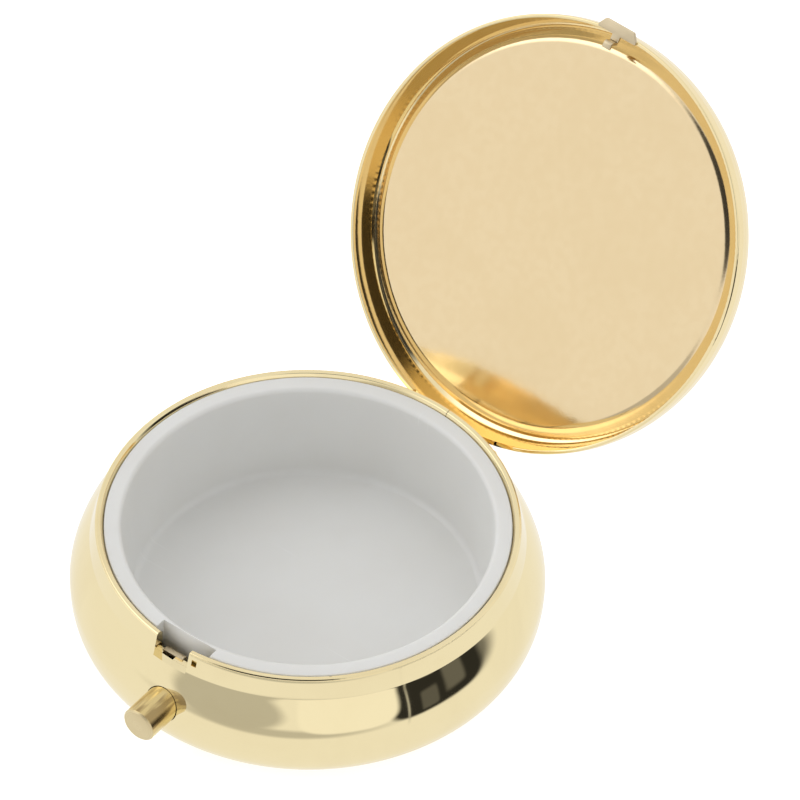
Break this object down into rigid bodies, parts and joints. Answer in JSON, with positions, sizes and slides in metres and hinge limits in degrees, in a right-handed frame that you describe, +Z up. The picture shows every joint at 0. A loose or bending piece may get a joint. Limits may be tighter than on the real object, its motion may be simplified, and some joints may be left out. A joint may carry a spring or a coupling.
{
  "type": "pill box",
  "caption": "Round gold-tone pill box with a bulbous body, plastic tray, hinged lid and a push-button catch, shown open.",
  "frame": {"origin": "middle of the flat underside that the box stands on", "axes": "+Z up out of the closed lid, -Y towards the push button, +X along the hinge axis"},
  "size_m": [0.05, 0.0854, 0.0441],
  "materials": {
    "pale_gold": "polished pale gold plate",
    "milled_gold": "polished gold with a milled edge",
    "satin_gold": "satin cream gold",
    "button_brass": "plain brass",
    "catch_brass": "dull brass",
    "spring_steel": "plain spring steel",
    "tray_plastic": "off-white moulded plastic"
  },
  "bodies": {
    "base": {"base_shell": "pale_gold", "base_rim_ring": "milled_gold", "pill_tray": "tray_plastic", "hinge_base_leaf": "milled_gold", "hinge_pin": "spring_steel"},
    "latch": {"button_pin": "button_brass", "catch_plate": "catch_brass"},
    "spring": {"catch_spring": "spring_steel"},
    "lid": {"lid_bezel": "pale_gold", "lid_panel": "satin_gold", "lid_tab": "catch_brass", "hinge_lid_leaf": "milled_gold"}
  },
  "joints": [
    {"name": "lid_hinge", "type": "hinge", "parent": "base", "child": "lid", "pos_m": [0, 0.0232, 0.0085], "axis": [1, 0, 0], "range_deg": [0, 128]},
    {"name": "button_press", "type": "slide", "parent": "base", "child": "latch", "axis": [0, 1, 0], "range_m": [0, 0.0007], "stiffness_N_per_m": 600, "springref_m": -0.001},
    {"name": "spring_flex", "type": "hinge", "parent": "base", "child": "spring", "pos_m": [0, -0.02174, 0.00095], "axis": [-1, 0, 0], "range_deg": [0, 7]}
  ],
  "couplings": [
    {"joint": "spring_flex", "follows": "button_press", "rad_per_m": 172.4}
  ]
}
